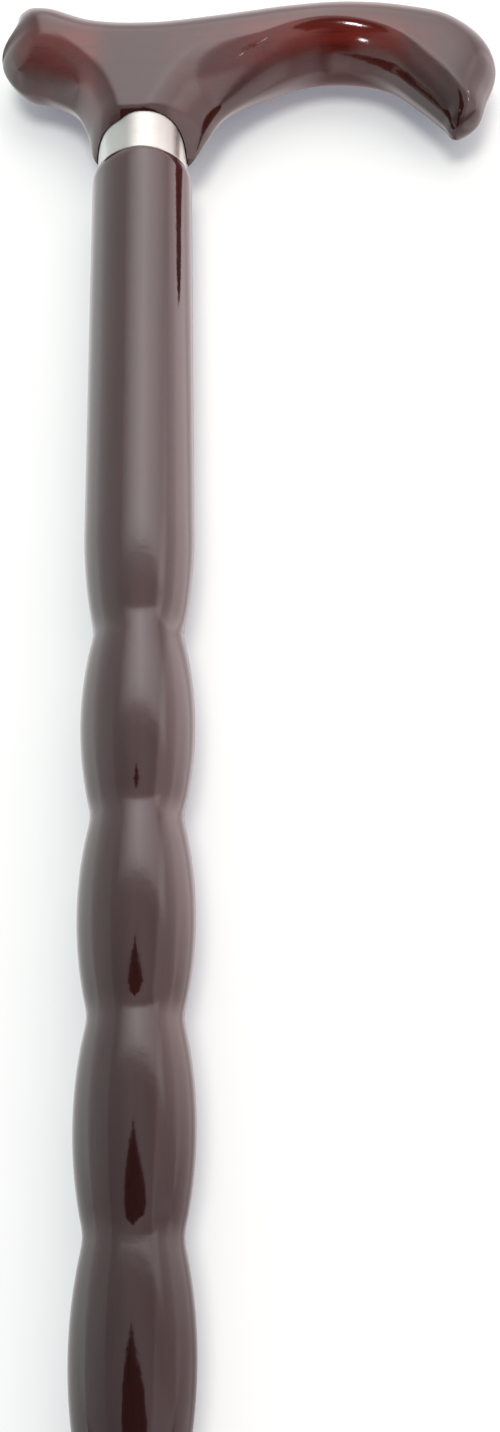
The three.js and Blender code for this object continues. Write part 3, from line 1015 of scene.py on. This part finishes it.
def scrims():
    near, far = GAUZE_NEAR, GAUZE_FAR
    scrim("scrim_front", (-near, -near), (near, -near), [
        (0.3, 0.7), (0.5, 0.6), (0.61, 0.62), (0.68, 0.72), (0.74, 0.85), (0.81, 1),
    ])
    scrim("scrim_left", (-near, -near), (-near, far), [(0.3, 0.8), (0.55, 0.72), (0.75, 1)])
    scrim("scrim_right", (near, -near), (near, far), [
        (0.3, 0.7), (0.5, 0.5), (0.6, 0.48), (0.64, 0.62), (0.69, 0.8), (0.73, 0.93), (0.78, 1),
    ])


def softbox_strength(tree):
    """Brightest left of the middle and near the foot, fading out towards every border."""
    axes = own_axes(tree)
    width = SOFTBOX_RIGHT - SOFTBOX_LEFT
    height = SOFTBOX_TOP - SOFTBOX_BOTTOM
    across = maths(tree, "MULTIPLY_ADD", axes["X"], 1 / width, -SOFTBOX_LEFT / width)
    upward = maths(tree, "MULTIPLY_ADD", axes["Z"], 1 / height, -SOFTBOX_BOTTOM / height)
    profile = [
        (SOFTBOX_LEFT, 0), (-0.27, 0.55), (-0.08, 1.45), (0.08, 2.0), (0.27, 1.5), (0.566, 1.0),
        (0.9, 0.6), (SOFTBOX_RIGHT, 0),
    ]
    sideways = ramp(tree, across, [
        ((x - SOFTBOX_LEFT) / width, value / BRIGHTEST) for x, value in profile
    ])
    fade = ramp(tree, upward, [
        (0, 0), (0.02, 0.2), (0.035, 0.8), (0.05, 1), (0.16, 0.9), (0.24, 0.72), (0.36, 0.62),
        (0.62, 0.4), (1, 0),
    ])
    return maths(tree, "MULTIPLY", maths(tree, "MULTIPLY", sideways, BRIGHTEST), fade)


def softbox():
    """A tall soft light in front and above, which the camera doesn't see."""
    material, tree, _ = new_material("softbox")
    glow = add(tree, "ShaderNodeEmission", Strength=softbox_strength(tree)).outputs[0]
    clear = add(tree, "ShaderNodeBsdfTransparent").outputs[0]
    use_surface(tree, add(tree, "ShaderNodeAddShader", _0=glow, _1=clear))
    box = flat_sheet("softbox", [
        (SOFTBOX_LEFT, SOFTBOX_Y, SOFTBOX_BOTTOM), (SOFTBOX_RIGHT, SOFTBOX_Y, SOFTBOX_BOTTOM),
        (SOFTBOX_RIGHT, SOFTBOX_Y, SOFTBOX_TOP), (SOFTBOX_LEFT, SOFTBOX_Y, SOFTBOX_TOP),
    ], material)
    hide_from(box, "camera")


def spark(name, place, target, radius, radiance, cone, receivers):
    """A small bright lamp whose mirror image is a highlight on the handle's lacquer."""
    data = bpy.data.lights.new(name, "SPOT")
    data.spot_size = math.radians(cone)
    data.spot_blend = 1
    data.shadow_soft_size = radius
    data.energy = radiance * 4 * math.pi**2 * radius**2
    lamp = add_lamp(name, data, receivers)
    lamp.location = place
    lamp.rotation_euler = (Vector(target) - Vector(place)).to_track_quat("-Z", "Y").to_euler()
    hide_from(lamp, "camera")


def sparks():
    handle_only = collection_of("handle_only", handle_skin)
    for name, values in SPARKS.items():
        spark(name, *values, handle_only)


def angle_round_x(tree, axes):
    """0.5 straight in front, more below and less above; the bands dip towards the right."""
    backwards = maths(tree, "MULTIPLY", axes["Y"], -1)
    down = maths(tree, "MULTIPLY", axes["Z"], -1)
    turn = maths(tree, "ARCTAN2", down, backwards)
    rightward = maths(tree, "MAXIMUM", axes["X"], 0)
    turn = maths(tree, "MULTIPLY_ADD", rightward, -math.radians(RIGHTWARD_DIP), turn)
    return maths(tree, "MULTIPLY_ADD", turn, 0.5 / math.pi, 0.5)


def world_band(tree, angle, stops, behind=1.0, overhead=(-130, 1.35)):
    """Light by degrees round the X axis: 0 in front, 90 below, -90 above and 180 behind."""
    above = [(-105, 1.45), (-92, 1.2), (-75, 1.05), (-60, 0.97), (-30, 0.97)]
    stops = [(-180, behind), overhead, *above, *stops, (180, behind)]
    return ramp(tree, angle, [(at / 360 + 0.5, value / BRIGHTEST) for at, value in stops])


def world_bands(tree, across, angle):
    """Three bands of light by angle, blended from left to right."""
    left = world_band(tree, angle, [
        (0, 0.9), (18, 0.85), (28, 0.6), (45, 0.42), (57, 0.5), (70, 0.85), (85, 1.25), (110, 1.4),
    ])
    middle = world_band(tree, angle, [
        (-10, 1.05), (5, 0.75), (25, 0.4), (40, 0.02), (84, 0.02), (91, 0.8), (105, 1.1),
        (135, 0.9), (165, 0.35),
    ], behind=0.3, overhead=(-142, 0.35))
    right = world_band(tree, angle, [
        (-10, 1.15), (10, 1.15), (30, 1.05), (38, 0.95), (48, 0.55), (58, 0.32), (72, 0.35),
        (82, 0.75), (100, 0.95),
    ])
    from_left = ramp(tree, across, [(0.32, 0), (0.44, 1)])
    from_middle = ramp(tree, across, [(0.54, 0), (0.65, 1)])
    return mixed(tree, from_middle, mixed(tree, from_left, left, middle), right)


def studio_world():
    """Soft light from above and both sides, dark below in front; the camera sees white."""
    world = bpy.data.worlds.new("studio")
    bpy.context.scene.world = world
    world.use_nodes = True
    tree = world.node_tree
    direction = add(tree, "ShaderNodeTexCoord").outputs["Generated"]
    axes = add(tree, "ShaderNodeSeparateXYZ", Vector=direction).outputs
    across = maths(tree, "MULTIPLY_ADD", axes["X"], 0.5, 0.5)
    sides = [
        (-1, 0.95), (-0.8, 0.85), (-0.6, 0.8), (-0.4, 0.85), (-0.2, 0.95), (0, 1.0), (0.2, 1.0),
        (0.5, 0.95), (0.63, 0.9), (0.73, 1.45), (1, 1.4),
    ]
    side = ramp(tree, across, [(x / 2 + 0.5, value / BRIGHTEST) for x, value in sides])
    hue = ramp(tree, across, [(0.1, (0.94, 1, 1)), (0.5, (1, 0.93, 0.94)), (0.8, (1, 0.89, 0.9))])
    band = world_bands(tree, across, angle_round_x(tree, axes))
    side = maths(tree, "MULTIPLY", side, WORLD_STRENGTH * BRIGHTEST**2)
    lit = maths(tree, "MULTIPLY", side, band)
    seen = add(tree, "ShaderNodeLightPath").outputs["Is Camera Ray"]
    strength = add(tree, "ShaderNodeMix", {"data_type": "FLOAT"}, _0=seen, _2=lit, _3=1.0)
    background = tree.nodes["Background"]
    tree.links.new(strength.outputs[0], background.inputs["Strength"])
    tree.links.new(mixed(tree, seen, hue, (1, 1, 1)), background.inputs["Color"])


def camera():
    data = bpy.data.cameras.new("camera")
    data.sensor_width = SENSOR_WIDTH
    data.lens = LENS
    obj = bpy.data.objects.new("camera", data)
    bpy.context.scene.collection.objects.link(obj)
    obj.matrix_world = (
        Matrix.Translation(CAMERA_PLACE)
        @ Matrix.Rotation(math.radians(90 + CAMERA_PITCH), 4, "X")
        @ Matrix.Rotation(CAMERA_ROLL, 4, "Z")
    )
    bpy.context.scene.camera = obj


backdrop()
floor()
dark_card()
scrims()
softbox()
sparks()
studio_world()
camera()
bpy.context.scene.view_settings.view_transform = "Standard"
